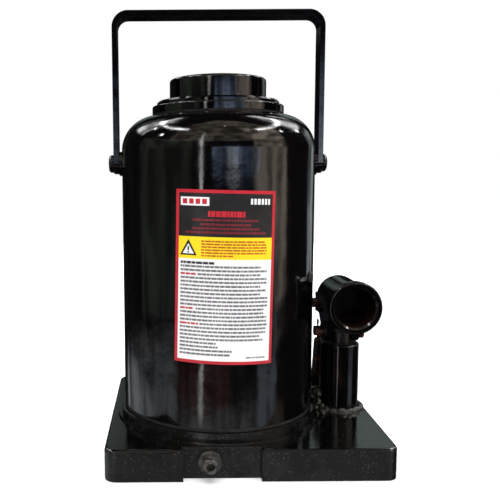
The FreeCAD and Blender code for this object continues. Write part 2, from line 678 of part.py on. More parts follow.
def make_bail_studs():
    """The bosses welded to the tank and the domed studs that the bail turns on."""
    pivot = ("0", "bail_pivot_z")
    tank = rod("tank_radius", "tank_top", "0", "0", "0")
    face = "bail_outer - bail_thick - bail_gap"
    bosses = []
    studs = []
    for side, start in ((1, "0"), (-1, f"-({face})")):
        boss = disc(start, face, pivot, "bail_boss")
        well = disc(start, face, pivot, "stud_radius")
        bosses.append(cut(boss, tank, well))
        shank = disc("0" if side > 0 else "-stud_end + 2", "stud_end - 2", pivot, "stud_radius")
        head_x = "bail_outer + bail_gap" if side > 0 else "-stud_end"
        head = disc(head_x, "stud_end - bail_outer - bail_gap", pivot, "stud_head")
        far = side * size("stud_end")
        head = rounded(head, "dome_edge", lambda edge, far=far: abs(edge.BoundBox.XMin - far) < 1e-3
                       and edge.BoundBox.XLength < 1e-3)
        studs.append(fuse(cut(shank, tank), head))
    node(group(*bosses), "bail_bosses")
    node(group(*studs), "bail_studs")


# --- valves ----------------------------------------------------------------------------------------------------

def spring(name, radius, turns, length, x, y, z, along="Z"):
    """A coil spring of round wire."""
    helix = bind(doc.addObject("Part::Helix", "Helix"), Radius=radius, Height=length,
                 Pitch=f"({length}) / {turns}")
    wire = bind(doc.addObject("Part::Circle", "Wire"), Radius="spring_wire")
    wire.Placement = Placement(Vector(), Rotation(Vector(1, 0, 0), 90))
    wire.setExpression(".Placement.Base.x", formula(radius))
    coil = doc.addObject("Part::Sweep", "Coil")
    coil.Sections = [wire]
    coil.Spine = (helix, ["Edge1"])
    coil.Solid = True
    coil.Frenet = True
    axis, angle = ALONG[along]
    place(coil, x, y, z, axis, angle)
    return node(coil, name)


SEAT_RISE = "sqrt(check_ball^2 - drill_radius^2)"


def make_check_valves():
    x, y = "valve_x", "-drill_offset"
    node(ball("check_ball", x, y, f"check_seat + {SEAT_RISE}"), "delivery_valve_ball")
    node(ball("check_ball", "pump_x", "drill_offset", f"pump_bottom + {SEAT_RISE}"), "suction_valve_ball")
    low = f"check_seat + {SEAT_RISE} + check_ball + 1.2 * spring_wire"
    spring("delivery_valve_spring", "check_bore - 2.2", 3, f"check_plug - 1.2 * spring_wire - ({low})", x, y, low)
    plug = rod("check_bore", "step_top - check_plug", x, y, "check_plug")
    key = bind(doc.addObject("Part::Prism", "Hexagon"), Circumradius="key_radius", Height="key_depth")
    key.Polygon = 6
    place(key, x, y, "step_top - key_depth")
    node(cut(plug, key), "delivery_valve_plug")


def make_strainer():
    """A thimble of gauze over the suction hole."""
    x, y = "valve_x", "drill_offset"
    body = rod("strainer_radius", "strainer_top - step_top", x, y, "step_top")
    inside = rod("strainer_radius - 0.8", "strainer_top - step_top - 0.8", x, y, "step_top")
    node(cut(body, inside), "suction_strainer")


def make_end_plugs():
    plugs = [rod("end_plug_radius", "end_plug_length", "base_right - end_plug_length", y, "drill_z", "X")
             for y in ("-drill_offset", "drill_offset")]
    node(group(*plugs), "passage_plugs")


def make_release_valve():
    """The screw that lets the oil back, its O-ring and the ball that it presses on its seat."""
    x, seat, z = "release_x", "release_seat", "release_z"
    mouth = f"base_half_depth - notch_depth + {seat}"
    start, groove, wall = "release_tip", "ring_groove", "release_radius"
    end = f"{mouth} + release_out"
    screw = turned(None, [
        ("0", start), ("0.5 * release_radius", start), (wall, f"{start} + 3"), (wall, groove),
        (f"{wall} - ring_wire", groove), (f"{wall} - ring_wire", f"{groove} + 2 * ring_wire"),
        (wall, f"{groove} + 2 * ring_wire"), (wall, f"{mouth} + bail_gap"),
        ("collar_radius", f"{mouth} + bail_gap"), ("collar_radius", f"{mouth} + collar_end"),
        ("release_head", f"{mouth} + collar_end"), ("release_head", f"{end} - 0.8"),
        ("release_head - 0.8", end), ("0", end),
    ], x, seat, z, "-Y")
    key = bind(doc.addObject("Part::Prism", "Hexagon"), Circumradius="key_radius", Height="key_depth")
    key.Polygon = 6
    place(key, x, f"{seat} - ({end}) + key_depth", z, (1, 0, 0), "90")
    node(cut(screw, key), "release_valve")
    turned("release_valve_seal", [
        (f"{wall} - ring_wire", groove), (wall, groove), (wall, f"{groove} + 2 * ring_wire"),
        (f"{wall} - ring_wire", f"{groove} + 2 * ring_wire"),
    ], x, seat, z, "-Y")
    rise = "sqrt(release_ball^2 - drill_radius^2)"
    node(ball("release_ball", x, f"{seat} - {rise}", z), "release_valve_ball")


def make_safety_valve():
    """The overload valve: a ball held on its seat by a spring behind a screwed plug."""
    x, seat, z = "safety_x", "safety_seat", "safety_z"
    notch = "notch_depth - base_half_depth"
    node(ball("safety_ball", x, f"{seat} - {SEAT_RISE}", z), "safety_valve_ball")
    far = f"{seat} - {SEAT_RISE} - safety_ball - 1.5 * spring_wire"
    spring("safety_valve_spring", "safety_bore - 1.6", 7, f"{far} - ({notch} + safety_plug + 1.5 * spring_wire)",
           x, far, z, "-Y")
    node(rod("safety_radius", "safety_plug", x, f"{notch} + safety_plug", z, "-Y"), "safety_valve_plug")


# --- label -----------------------------------------------------------------------------------------------------

def make_label():
    """A thin printed sheet round the front of the tank."""
    low, tall = "label_bottom", "label_top - label_bottom"
    skins = []
    for radius in ("tank_radius + label_thick", "tank_radius"):
        sector = bind(doc.addObject("Part::Cylinder", "Sector"), Radius=radius, Height=tall,
                      Angle="2 * label_half_angle")
        skins.append(place(sector, "0", "0", low, (0, 0, 1), "270 - label_half_angle"))
    node(cut(*skins), "label")


def build():
    make_base()
    make_tank()
    make_filler_plug()
    make_pressure_cylinder()
    make_top_nut()
    make_ram()
    make_saddle()
    make_pump_cylinder()
    make_pump_weld()
    make_plunger()
    make_links()
    make_lug()
    make_pins()
    make_socket()
    make_bail()
    make_bail_studs()
    make_check_valves()
    make_strainer()
    make_end_plugs()
    make_release_valve()
    make_safety_valve()
    make_label()


def check():
    """Stop if an object failed or a sub-part's shape is no good."""
    doc.recompute()
    for thing in doc.Objects:
        if {"Invalid", "Error"} & set(thing.State):
            raise RuntimeError(f"{thing.Name} ({thing.Label}) failed")
    for thing in parts:
        if thing.Shape.isNull() or not thing.Shape.isValid():
            raise RuntimeError(f"{thing.Label} has no valid shape")


build()
check()
os.makedirs("parts", exist_ok=True)
for thing in parts:
    thing.Shape.exportStep(f"parts/{thing.Label}.step")
    print(f"{thing.Label}: {len(thing.Shape.Solids)} solid(s), {thing.Shape.Volume / 1000:.2f} cm3")
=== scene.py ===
import json
import math
import random

import bmesh
import bpy
from mathutils import Matrix, Vector


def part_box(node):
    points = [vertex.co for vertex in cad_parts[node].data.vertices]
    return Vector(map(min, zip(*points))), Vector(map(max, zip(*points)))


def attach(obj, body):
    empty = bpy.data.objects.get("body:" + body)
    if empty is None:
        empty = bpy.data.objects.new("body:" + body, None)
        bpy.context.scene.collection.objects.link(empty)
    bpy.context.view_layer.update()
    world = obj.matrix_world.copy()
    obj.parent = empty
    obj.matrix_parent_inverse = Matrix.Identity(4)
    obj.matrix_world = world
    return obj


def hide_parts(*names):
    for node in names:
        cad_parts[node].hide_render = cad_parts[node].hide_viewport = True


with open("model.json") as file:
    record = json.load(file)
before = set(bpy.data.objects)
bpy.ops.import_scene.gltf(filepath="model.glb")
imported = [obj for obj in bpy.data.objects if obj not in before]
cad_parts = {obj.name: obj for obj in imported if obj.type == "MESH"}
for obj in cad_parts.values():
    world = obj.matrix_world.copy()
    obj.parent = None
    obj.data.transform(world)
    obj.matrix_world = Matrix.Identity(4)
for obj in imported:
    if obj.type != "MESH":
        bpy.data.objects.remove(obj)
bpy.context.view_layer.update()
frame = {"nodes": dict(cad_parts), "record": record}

# Looks of the bottle jack, in metres and in the frame of the CAD model: +Z up, -Y to the camera.
MM = 0.001
NODES = frame["nodes"]
BODY_OF = {node: body for body, members in frame["record"]["behaviour"]["bodies"].items()
           for node in members}
SLOT_OF = {part["node"]: part["material_slot"] for part in frame["record"]["subparts"]}


def middle(node):
    low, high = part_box(node)
    return (low + high) / 2


# --- materials -----------------------------------------------------------------------------------

def feed(tree, socket, value):
    """Link a node's output to a socket, or set the socket to a plain value."""
    if isinstance(value, bpy.types.NodeSocket):
        tree.links.new(value, socket)
    elif socket.type == "RGBA":
        socket.default_value = (*value, 1)
    else:
        socket.default_value = value


def calc(tree, operation, first, second=0.0):
    node = tree.nodes.new("ShaderNodeMath")
    node.operation = operation
    feed(tree, node.inputs[0], first)
    feed(tree, node.inputs[1], second)
    return node.outputs[0]


class Shader:
    """A Principled material and the few node patterns that the finishes share."""

    def __init__(self, name, color, rough, metal=0.0, specular=0.5):
        self.mat = bpy.data.materials.new(name)
        self.mat.use_nodes = True
        self.mat.diffuse_color = (*color, 1)
        self.tree = self.mat.node_tree
        self.bsdf = self.tree.nodes["Principled BSDF"]
        self.bsdf.inputs["Base Color"].default_value = (*color, 1)
        self.bsdf.inputs["Roughness"].default_value = rough
        self.bsdf.inputs["Metallic"].default_value = metal
        self.bsdf.inputs["Specular IOR Level"].default_value = specular
        self.coords = self.tree.nodes.new("ShaderNodeTexCoord").outputs["Object"]
        self.normal = None

    def add(self, kind, **inputs):
        node = self.tree.nodes.new(kind)
        for key, value in inputs.items():
            feed(self.tree, node.inputs[key.replace("_", " ")], value)
        return node

    def noise(self, scale, detail=4.0, rough=0.55, stretch=(1, 1, 1)):
        where = self.add("ShaderNodeMapping", Vector=self.coords, Scale=stretch).outputs[0]
        return self.add("ShaderNodeTexNoise", Vector=where, Scale=scale, Detail=detail,
                        Roughness=rough).outputs["Fac"]

    def dots(self, scale, share):
        """Sparse round specks: 1 inside a speck, 0 between."""
        rim = 0.04
        cells = self.add("ShaderNodeTexVoronoi", Vector=self.coords, Scale=scale)
        near = self.remap(cells.outputs["Distance"], share, share + rim, 1.0, 0.0)
        pick = self.add("ShaderNodeSeparateColor", Color=cells.outputs["Color"]).outputs[0]
        return self.times(near, self.remap(pick, 0.55, 0.6, 0.0, 1.0))

    def times(self, first, second):
        return calc(self.tree, "MULTIPLY", first, second)

    def less(self, first, second):
        return calc(self.tree, "SUBTRACT", first, second)

    def remap(self, value, low, high, to_low, to_high):
        return self.add("ShaderNodeMapRange", Value=value, From_Min=low, From_Max=high, To_Min=to_low,
                        To_Max=to_high).outputs[0]

    def mix(self, factor, first, second):
        node = self.tree.nodes.new("ShaderNodeMix")
        node.data_type = "RGBA"
        for index, value in ((0, factor), (6, first), (7, second)):
            feed(self.tree, node.inputs[index], value)
        return node.outputs[2]

    def facing_up(self):
        """1 on faces that look up, 0 on walls."""
        normal = self.tree.nodes.new("ShaderNodeNewGeometry").outputs["Normal"]
        upward = self.add("ShaderNodeSeparateXYZ", Vector=normal).outputs[2]
        return self.remap(upward, 0.3, 0.7, 0.0, 1.0)

    def bump(self, height, depth):
        node = self.add("ShaderNodeBump", Height=height, Distance=depth)
        if self.normal is not None:
            self.tree.links.new(self.normal, node.inputs["Normal"])
        self.normal = node.outputs[0]
        self.tree.links.new(self.normal, self.bsdf.inputs["Normal"])

    def color(self, socket):
        self.tree.links.new(socket, self.bsdf.inputs["Base Color"])

    def mottle(self, noise, low, high, first, second):
        """Colour that drifts from one tone to another between two levels of a noise."""
        self.color(self.mix(self.remap(noise, low, high, 0.0, 1.0), first, second))

    def rough(self, socket):
        self.tree.links.new(socket, self.bsdf.inputs["Roughness"])


def gloss_black():
    """Thick gloss enamel: deep black, orange peel and slow waves."""
    s = Shader("gloss_black_paint", (0.006, 0.005, 0.006), 0.12, specular=0.55)
    s.mottle(s.noise(9), 0.35, 0.7, (0.0008, 0.0007, 0.0009), (0.0028, 0.0020, 0.0019))
    s.rough(s.remap(s.noise(60, 6), 0.3, 0.75, 0.05, 0.15))
    s.bump(s.noise(16, 2, 0.4), 0.0018)
    s.bump(s.noise(170, 3, 0.5), 0.00007)
    s.bump(s.noise(650, 2, 0.5), 0.00001)
    return s.mat


def red_patched_black():
    """Thin black paint with random red-brown patches on the small pressed parts."""
    s = Shader("red_patched_black_paint", (0.012, 0.008, 0.007), 0.2, specular=0.55)
    s.mottle(s.noise(85, 7, 0.65), 0.48, 0.66, (0.005, 0.004, 0.004), (0.10, 0.022, 0.014))
    s.rough(s.remap(s.noise(120, 6), 0.3, 0.7, 0.12, 0.34))
    s.bump(s.noise(60, 4), 0.0005)
    s.bump(s.noise(500, 3), 0.00004)
    return s.mat


def satin_black():
    """Brushed-on black over a casting: satin and dusty on its walls, poured glossy on its top, where
    painted shade makes the colour darker than on the walls.
    """
    s = Shader("satin_black_paint", (0.014, 0.013, 0.014), 0.38)
    dust = s.dots(520, 0.2)
    spatter = s.dots(160, 0.12)
    patchy = s.remap(s.noise(30, 6), 0.35, 0.7, 0.0, 1.0)
    wall = s.mix(patchy, (0.0025, 0.0025, 0.0026), (0.0085, 0.008, 0.008))
    level = s.facing_up()
    # painted shade: faces that look up get a much darker colour than the walls, in place of the dark
    # reflections on the glossy top
    paint = s.mix(level, wall, (0.0011, 0.0011, 0.0012))
    fallen = s.times(dust, s.less(0.6, s.times(level, 0.4)))
    s.color(s.mix(fallen, paint, (0.09, 0.085, 0.08)))
    shine = s.less(1.0, s.times(level, 0.85))
    s.rough(s.times(s.remap(s.noise(90, 6), 0.3, 0.7, 0.16, 0.36), shine))
    s.bump(s.noise(45, 3, 0.5), 0.00016)
    s.bump(s.noise(420, 4, 0.6), 0.00008)
    s.bump(spatter, 0.0005)
    return s.mat


def bead_black():
    """Rough weld metal under gloss paint."""
    s = Shader("painted_weld", (0.008, 0.008, 0.005), 0.15, specular=0.8)
    s.rough(s.remap(s.noise(150, 5), 0.3, 0.7, 0.06, 0.22))
    s.bump(s.noise(380, 4, 0.6), 0.0016)
    return s.mat


def steel(name, color, low, high, stretch=(1, 1, 12)):
    """Machined metal with fine tool marks."""
    s = Shader(name, color, (low + high) / 2, metal=1.0)
    marks = s.noise(900, 3, 0.5, stretch)
    s.mottle(s.noise(70, 5), 0.3, 0.7, tuple(0.72 * c for c in color), color)
    s.rough(s.remap(marks, 0.3, 0.7, low, high))
    s.bump(marks, 0.00004)
    return s.mat


def scuffed_grey():
    """Black paint rubbed down to grey by the slotted end of the pump bar."""
    s = Shader("scuffed_paint", (0.06, 0.058, 0.055), 0.35, specular=0.6)
    s.mottle(s.noise(200, 6, 0.6), 0.4, 0.62, (0.012, 0.011, 0.010), (0.085, 0.08, 0.072))
    s.rough(s.remap(s.noise(260, 4), 0.3, 0.7, 0.2, 0.45))
    s.bump(s.noise(600, 4), 0.0001)
    return s.mat


def bore_black():
    """The unpolished inside of the handle tube: dark scale with rusty patches."""
    s = Shader("tube_inside", (0.012, 0.008, 0.006), 0.5, specular=0.25)
    s.mottle(s.noise(70, 6, 0.6), 0.45, 0.65, (0.003, 0.0025, 0.0025), (0.022, 0.006, 0.004))
    s.rough(s.remap(s.noise(140, 5), 0.3, 0.7, 0.25, 0.5))
    s.bump(s.noise(220, 4), 0.0004)
    return s.mat


def rubber():
    s = Shader("black_rubber", (0.02, 0.02, 0.02), 0.6, specular=0.35)
    s.mottle(s.noise(120, 5), 0.3, 0.7, (0.012, 0.012, 0.012), (0.035, 0.034, 0.033))
    s.rough(s.remap(s.noise(400, 4), 0.3, 0.7, 0.5, 0.75))
    s.bump(s.noise(900, 3), 0.00008)
    return s.mat


def print_ink(name, color, spread=0.12):
    """Printed vinyl: a faint mottle, a slight sheen and the soft waves of the tank below."""
    s = Shader("label_" + name, color, 0.42, specular=0.4)
    darker = tuple(c * (1 - spread) for c in color)
    paler = tuple(min(1.0, c * (1 + spread) + 0.01) for c in color)
    s.mottle(s.noise(38, 6), 0.3, 0.7, darker, paler)
    s.rough(s.remap(s.noise(140, 4), 0.3, 0.7, 0.34, 0.5))
    s.bump(s.noise(18, 2, 0.4), 0.0012)
    s.bump(s.noise(700, 2), 0.00002)
    return s.mat


def pale_floor():
    """Matt, and faintly lit from within, so that it stays white away from the lamps."""
    s = Shader("pale_floor", (0.86, 0.86, 0.86), 0.85, specular=0.1)
    s.mottle(s.noise(3, 3), 0.3, 0.7, (0.85, 0.85, 0.85), (0.88, 0.88, 0.88))
    s.bsdf.inputs["Emission Color"].default_value = (1, 1, 1, 1)
    s.bsdf.inputs["Emission Strength"].default_value = 0.25
    return s.mat


GLOSS = gloss_black()
RED_PATCHED = red_patched_black()
SATIN = satin_black()
WELD = bead_black()
BORE = bore_black()
SCUFFED = scuffed_grey()
RUBBER = rubber()
BRIGHT = steel("bright_steel", (0.50, 0.49, 0.47), 0.14, 0.28)
DARK_STEEL = steel("blackened_steel", (0.05, 0.045, 0.045), 0.22, 0.4)
BALL = steel("polished_ball_steel", (0.8, 0.8, 0.82), 0.06, 0.12, (1, 1, 1))
BRASS = steel("machined_brass", (0.76, 0.55, 0.27), 0.2, 0.36)
SLOT_MATERIAL = {
    "base_paint": SATIN, "body_paint": GLOSS, "bare_steel": BRIGHT, "ball_steel": BALL,
    "brass": BRASS, "rubber": RUBBER,
}
NODE_MATERIAL = {
    "pump_plunger": DARK_STEEL, "plunger_pin_washers": DARK_STEEL, "socket_pin_washers": DARK_STEEL,
    "link_pin_washers": DARK_STEEL, "safety_valve_plug": SATIN, "passage_plugs": SATIN,
}


def dress_cad_nodes():
    """Every CAD node that stays gets its own finish or its slot's."""
    for name, thing in NODES.items():
        material = NODE_MATERIAL.get(name) or SLOT_MATERIAL.get(SLOT_OF[name])
        if material is not None:
            thing.data.materials.clear()
            thing.data.materials.append(material)


# --- mesh helpers --------------------------------------------------------------------------------

def piece_from(mesh, name, node, material, replace=True):
    """Link a mesh as a piece that rides with a CAD node's body and stands for that node."""
    thing = bpy.data.objects.new(name, mesh)
    bpy.context.scene.collection.objects.link(thing)
    mesh.materials.clear()
    mesh.materials.append(material)
    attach(thing, BODY_OF[node])
    if replace:
        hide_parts(node)
    return thing


def smooth(mesh, angle):
    mesh.shade_smooth()
    mesh.set_sharp_from_angle(angle=math.radians(angle))


def baked(data, kind=None, **settings):
    """The mesh that a curve becomes, or that a mesh becomes under one modifier."""
    holder = bpy.data.objects.new("holder", data)
    bpy.context.scene.collection.objects.link(holder)
    if kind is not None:
        modifier = holder.modifiers.new("finish", kind)
        for key, value in settings.items():
            setattr(modifier, key, value)
    graph = bpy.context.evaluated_depsgraph_get()
    result = bpy.data.meshes.new_from_object(holder.evaluated_get(graph))
    bpy.data.objects.remove(holder)
    return result


def remodel(node, material, width, segments=3, angle=32):
    """A CAD node again, its hard edges rounded to catch the light and its flats kept flat."""
    mesh = NODES[node].data.copy()
    work = bmesh.new()
    work.from_mesh(mesh)
    bmesh.ops.remove_doubles(work, verts=work.verts, dist=1e-6)
    bmesh.ops.dissolve_limit(work, angle_limit=math.radians(0.6), verts=work.verts, edges=work.edges)
    work.to_mesh(mesh)
    work.free()
    if mesh.has_custom_normals:
        mesh.attributes.remove(mesh.attributes["custom_normal"])
    rounded = baked(mesh, "BEVEL", width=width, segments=segments, limit_method="ANGLE",
                    angle_limit=math.radians(angle), use_clamp_overlap=True)
    smooth(rounded, 28)
    even = baked(rounded, "WEIGHTED_NORMAL", keep_sharp=True, weight=60)
    return piece_from(even, node + "_shape", node, material)


def grid_mesh(name, rows, closed):
    """A mesh from rows of points; the last row joins the first, and so do the ends of a closed row."""
    mesh = bpy.data.meshes.new(name)
    count, tall = len(rows[0]), len(rows)
    verts = [point for row in rows for point in row]
    faces = []
    for v in range(tall):
        for u in range(count if closed else count - 1):
            right, up = (u + 1) % count, (v + 1) % tall
            faces.append((v * count + u, v * count + right, up * count + right, up * count + u))
    mesh.from_pydata(verts, [], faces)
    mesh.update()
    return mesh


def wire(name, points, radius):
    """A round wire through points."""
    curve = bpy.data.curves.new(name, "CURVE")
    curve.dimensions = "3D"
    curve.bevel_depth = radius
    curve.bevel_resolution = 4
    curve.resolution_u = 10
    curve.use_fill_caps = True
    spline = curve.splines.new("NURBS")
    spline.points.add(len(points) - 1)
    for spot, point in zip(spline.points, points):
        spot.co = (*point, 1)
    spline.order_u = 3
    spline.use_endpoint_u = True
    return curve


# --- pieces with shapes of their own -------------------------------------------------------------

def split_pin(node, seed):
    """A split pin: a round eye on top, two legs, their ends bent apart."""
    low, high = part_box(node)
    spot = middle(node)
    thick = high.x - low.x
    radius = 0.55 * thick / 2
    eye = 1.7 * radius + 0.3 * thick
    rng = random.Random(seed)
    top = high.z - radius
    work = bmesh.new()
    for side in (-1, 1):
        lean = rng.uniform(0.6, 1.0) * (high.y - low.y) / 2
        y = spot.y + side * radius * 0.55
        path = [
            (spot.x, spot.y, top), (spot.x, spot.y + side * eye, top),
            (spot.x, spot.y + side * eye, top - 2 * eye), (spot.x, y, top - 2.1 * eye),
            (spot.x, y, (top + low.z) / 2), (spot.x, y, low.z + 3.5 * radius),
            (spot.x, y + side * 0.3 * lean, low.z + 1.6 * radius),
            (spot.x, spot.y + side * (lean - radius), low.z + radius),
        ]
        work.from_mesh(baked(wire(node + "_leg", path, radius)))
    mesh = bpy.data.meshes.new(node + "_wire")
    work.to_mesh(mesh)
    work.free()
    smooth(mesh, 60)
    piece_from(mesh, node + "_wire", node, DARK_STEEL)


def make_pump_bead():
    """A round weld bead at the foot of the pump: lumps of slightly uneven size."""
    lumps, parts = 17, 8
    margin = 0.6 * MM
    low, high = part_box("pump_weld_bead")
    cylinder_low, cylinder_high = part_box("pump_cylinder")
    centre = middle("pump_cylinder")
    inner = (cylinder_high.x - cylinder_low.x) / 2 - margin
    outer = high.x - centre.x - margin
    foot = low.z - 0.4 * MM
    tall = (high.z - low.z) * 0.9
    rng = random.Random(3)
    size = [1 + rng.uniform(-0.16, 0.16) for _ in range(lumps)]
    profile = [math.pi * i / 10 for i in range(11)]
    rows = []
    for step in range(lumps * parts):
        turn = 2 * math.pi * step / (lumps * parts)
        lump, part = divmod(step, parts)
        swell = size[lump] * (0.82 + 0.18 * math.sin(math.pi * part / parts))
        ring = []
        for angle in profile:
            across = (inner + outer) / 2 + (outer - inner) / 2 * math.cos(angle) * swell
            up = foot + tall * math.sin(angle) * swell
            ring.append((centre.x + across * math.cos(turn), centre.y + across * math.sin(turn), up))
        rows.append(ring)
    mesh = grid_mesh("pump_bead", rows, closed=True)
    smooth(mesh, 70)
    piece_from(mesh, "pump_bead", "pump_weld_bead", WELD)


def add_lump(work, spot, radius, stretch, detail):
    """A round lump of weld metal, stretched along the axes."""
    verts = bmesh.ops.create_icosphere(work, subdivisions=detail, radius=radius)["verts"]
    place = Matrix.Translation(spot) @ Matrix.Diagonal((*stretch, 1.0))
    bmesh.ops.transform(work, matrix=place, verts=verts)


def make_weld_lumps():
    """Rough weld: a heap between the pump and the tank's seat, and two rows beside the link lug."""
    heap, climbing, row = 60, 30, 5
    narrowing = 20.0    # of the heap, for each metre that it climbs
    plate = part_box("pump_weld_bead")[0].z
    centre = middle("pump_cylinder")
    lug_low, lug_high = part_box("link_lug")
    rng = random.Random(5)
    work = bmesh.new()
    for k in range(heap):
        radius = rng.uniform(1.1, 3.0) * MM
        climb = max(0, k - climbing) * 0.5 * MM
        x = centre.x - rng.uniform(17, 24) * MM
        y = centre.y + rng.uniform(-20, 14) * (1 - narrowing * climb) * MM
        stretch = (1.0, rng.uniform(0.8, 1.3), rng.uniform(0.7, 1.3))
        add_lump(work, (x, y, plate + climb), radius, stretch, 3)
    for side, y in ((-1, lug_low.y), (1, lug_high.y)):
        for k in range(row):
            radius = rng.uniform(2.1, 2.9) * MM
            x = lug_low.x + (lug_high.x - lug_low.x) * (k + 0.5) / row
            stretch = (0.9, 1.0, rng.uniform(0.7, 1.0))
            add_lump(work, (x, y + side * radius * 0.35, lug_low.z), radius, stretch, 4)
    everything = work.verts[:] + work.edges[:] + work.faces[:]
    bmesh.ops.bisect_plane(work, geom=everything, plane_co=(0, 0, lug_low.z - 0.3 * MM),
                           plane_no=(0, 0, -1), clear_outer=True)
    mesh = bpy.data.meshes.new("lug_lumps")
    work.to_mesh(mesh)
    work.free()
    smooth(mesh, 80)
    piece_from(mesh, "lug_lumps", "lug_weld_beads", WELD)


def darken_bore(mesh):
    """The inside of the handle tube is not painted like the outside."""
    bore = next(mount for mount in frame["record"]["mounts"] if mount["name"] == "handle_bore")
    x, _, z = bore["pos_m"]
    reach = (bore["dims"]["r_mm"] + 0.4) * MM
    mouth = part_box("handle_socket")[0].y + 1.2 * MM
    mesh.materials.append(BORE)
    for face in mesh.polygons:
        inside = math.hypot(face.center.x - x, face.center.z - z) < reach
        if inside and face.center.y > mouth:
            face.material_index = 1


def make_edges():
    """The nodes that show, with softened edges."""
    remodel("base", SATIN, 0.7 * MM)
    remodel("top_nut", GLOSS, 1.1 * MM, 4)
    remodel("saddle", GLOSS, 0.25 * MM, 2, 40)
    socket = remodel("handle_socket", GLOSS, 0.7 * MM)
    darken_bore(socket.data)
    remodel("bail_handle", GLOSS, 0.8 * MM)
    remodel("link_plate_left", RED_PATCHED, 0.6 * MM)
    remodel("link_plate_right", RED_PATCHED, 0.6 * MM)
    remodel("link_lug", SATIN, 0.6 * MM)
    remodel("release_valve", SCUFFED, 0.5 * MM, 2)
    remodel("pump_cylinder", GLOSS, 0.3 * MM, 2)
    for name in ("plunger_pin", "socket_pin", "link_pin"):
        remodel(name, RED_PATCHED, 0.4 * MM, 2)


# --- label, in mm --------------------------------------------------------------------------------

class Sheet:
    """A printed sheet on the tank: x along the arc and y down from its top left corner."""

    TRIM = 2.2       # the print is this much narrower than the CAD sheet
    SKEW = 0.019     # its sides lean by this much of their height
    SLOPE = 0.03     # its rows fall by this much of their width
    THICK = 0.24
    LAYER = 0.03     # between one ink and the next
    CHORD = 2.5      # longest straight piece along the arc

    def __init__(self):
        low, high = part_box("label")
        self.radius = -low.y / MM
        self.top = high.z / MM
        self.tall = (high.z - low.z) / MM
        self.wide = 2 * self.radius * math.asin(high.x / -low.y) - self.TRIM
        self.inks = {}

    def point(self, x, y, lift):
        """A point of the sheet in the scene, in metres."""
        turn = (x - self.wide / 2 + self.SKEW * (self.tall / 2 - y)) / self.radius
        reach = (self.radius + lift) * MM
        drop = y + self.SLOPE * (x - self.wide / 2)
        return (reach * math.sin(turn), -reach * math.cos(turn), (self.top - drop) * MM)

    def strip(self, ink, left, right, top, bottom, layer):
        """An area whose top and bottom may slope, split so that it follows the tank."""
        verts, faces = self.inks.setdefault(ink, ([], []))
        steps = max(1, math.ceil((right - left) / self.CHORD))
        start = len(verts)
        for step in range(steps + 1):
            share = step / steps
            x = left + (right - left) * share
            for edge in (top, bottom):
                verts.append(self.point(x, edge[0] + (edge[1] - edge[0]) * share, layer * self.LAYER))
        for step in range(steps):
            a = start + 2 * step
            faces.append((a, a + 1, a + 3, a + 2))

    def patch(self, ink, x0, x1, y0, y1, layer):
        self.strip(ink, x0, x1, (y0, y0), (y1, y1), layer)

    def triangle(self, ink, x, half, y0, y1, layer):
        self.strip(ink, x - half, x, (y1, y0), (y1, y1), layer)
        self.strip(ink, x, x + half, (y0, y1), (y1, y1), layer)

    def words(self, ink, rng, x0, x1, y, height, gap, longest):
        """A row of plain bars of uneven length, like a line of small print seen from afar."""
        x = x0
        while x < x1 - 1.0:
            width = min(rng.uniform(1.2, longest), x1 - x)
            self.patch(ink, x, x + width, y, y + height, 3)
            x += width + gap

    def body(self, material):
        """The sheet itself, a thin closed shell."""
        steps = 40
        rows = []
        for y, lift in ((0, -self.THICK), (0, 0), (self.tall, 0), (self.tall, -self.THICK)):
            rows.append([self.point(self.wide * k / steps, y, lift) for k in range(steps + 1)])
        mesh = grid_mesh("label_sheet", rows, closed=False)
        work = bmesh.new()
        work.from_mesh(mesh)
        rim = [edge for edge in work.edges if edge.is_boundary]
        bmesh.ops.holes_fill(work, edges=rim, sides=4)
        bmesh.ops.recalc_face_normals(work, faces=work.faces)
        work.to_mesh(mesh)
        work.free()
        smooth(mesh, 30)
        piece_from(mesh, "label_sheet", "label", material)

    def finish(self, inks):
        """Each ink's areas as one piece."""
        for ink, (verts, faces) in self.inks.items():
            mesh = bpy.data.meshes.new("print_" + ink)
            mesh.from_pydata(verts, [], faces)
            mesh.update()
            thing = piece_from(mesh, "print_" + ink, "label", inks[ink], replace=False)
            thing.data.shade_smooth()


def make_label():
    inks = {
        "red": print_ink("red", (0.50, 0.010, 0.022)),
        "black": print_ink("black", (0.008, 0.007, 0.008), 0.3),
        "yellow": print_ink("yellow", (1.0, 0.66, 0.0), 0.06),
        "white": print_ink("white", (0.86, 0.85, 0.85), 0.04),
        "grey": print_ink("grey", (0.16, 0.15, 0.155), 0.25),
        "orange": print_ink("orange", (0.48, 0.09, 0.0), 0.2),
        "maroon": print_ink("maroon", (0.15, 0.008, 0.013), 0.2),
    }
    sheet = Sheet()
    rng = random.Random(11)
    edge = 2.4
    left, right, bottom = edge, sheet.wide - edge, sheet.tall - edge
    header, band = 34, 50.2
    sheet.body(inks["red"])
    sheet.patch("black", left, right, edge, header, 1)
    sheet.patch("yellow", left, right, header, band, 1)
    sheet.patch("white", left, right, band, bottom, 1)
    print_header(sheet, rng)
    print_band(sheet, rng)
    print_text(sheet, rng, band, bottom)
    sheet.finish(inks)


def print_header(sheet, rng):
    """Plain blocks in the top corners, a red title bar and four dark red rows."""
    centre = sheet.wide / 2
    sheet.patch("white", 3.6, 24.8, 5.4, 11.6, 2)
    for k in range(4):
        sheet.patch("red", 5.2 + 4.8 * k, 8.6 + 4.8 * k, 6.6, 10.4, 3)
    sheet.words("white", rng, sheet.wide - 20, sheet.wide - 4.8, 5.8, 4.2, 0.9, 2.3)
    sheet.words("red", rng, centre - 13.5, centre + 13.5, 15.2, 4.2, 0.6, 4.4)
    for y, wide in ((20.9, 50), (24.1, 38), (27.0, 50), (29.9, 60)):
        sheet.words("maroon", rng, centre - wide / 2, centre + wide / 2, y, 1.7, 0.5, 5)


